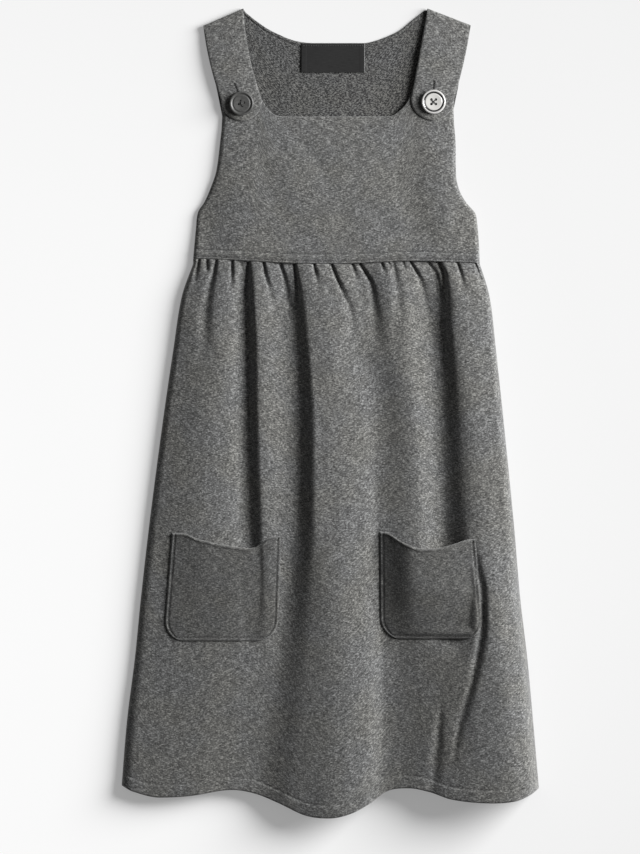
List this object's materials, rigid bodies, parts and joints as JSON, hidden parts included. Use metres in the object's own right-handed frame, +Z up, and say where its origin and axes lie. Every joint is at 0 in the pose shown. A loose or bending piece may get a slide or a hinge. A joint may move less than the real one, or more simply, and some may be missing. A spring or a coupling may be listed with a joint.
{
  "type": "pinafore dress",
  "caption": "Child's sleeveless pinafore dress laid flat: gathered skirt with patch pockets, scooped bodice, buttoned shoulder straps, bare neck label.",
  "frame": {"origin": "middle of the outline, on the flat surface that the dress lies on", "axes": "+X to the right of the front view, +Y towards the neck, +Z up out of the front of the dress"},
  "size_m": [0.3869, 0.75, 0.0399],
  "materials": {
    "marl_jersey": "matt grey marl double jersey with short light and dark flecks",
    "marl_jersey_inside": "inside of the same jersey, with coarser flecks",
    "grey_button": "glossy moulded polyester in mid grey",
    "pearl_button": "glossy moulded polyester in pearl white",
    "black_satin": "woven black satin ribbon"
  },
  "bodies": {
    "root": {"skirt_front": "marl_jersey", "skirt_back": "marl_jersey_inside", "bodice_front": "marl_jersey", "bodice_back": "marl_jersey_inside", "strap_left": "marl_jersey", "strap_right": "marl_jersey", "pocket_left": "marl_jersey", "pocket_right": "marl_jersey", "button_left": "grey_button", "button_right": "pearl_button", "neck_label": "black_satin"}
  },
  "joints": []
}
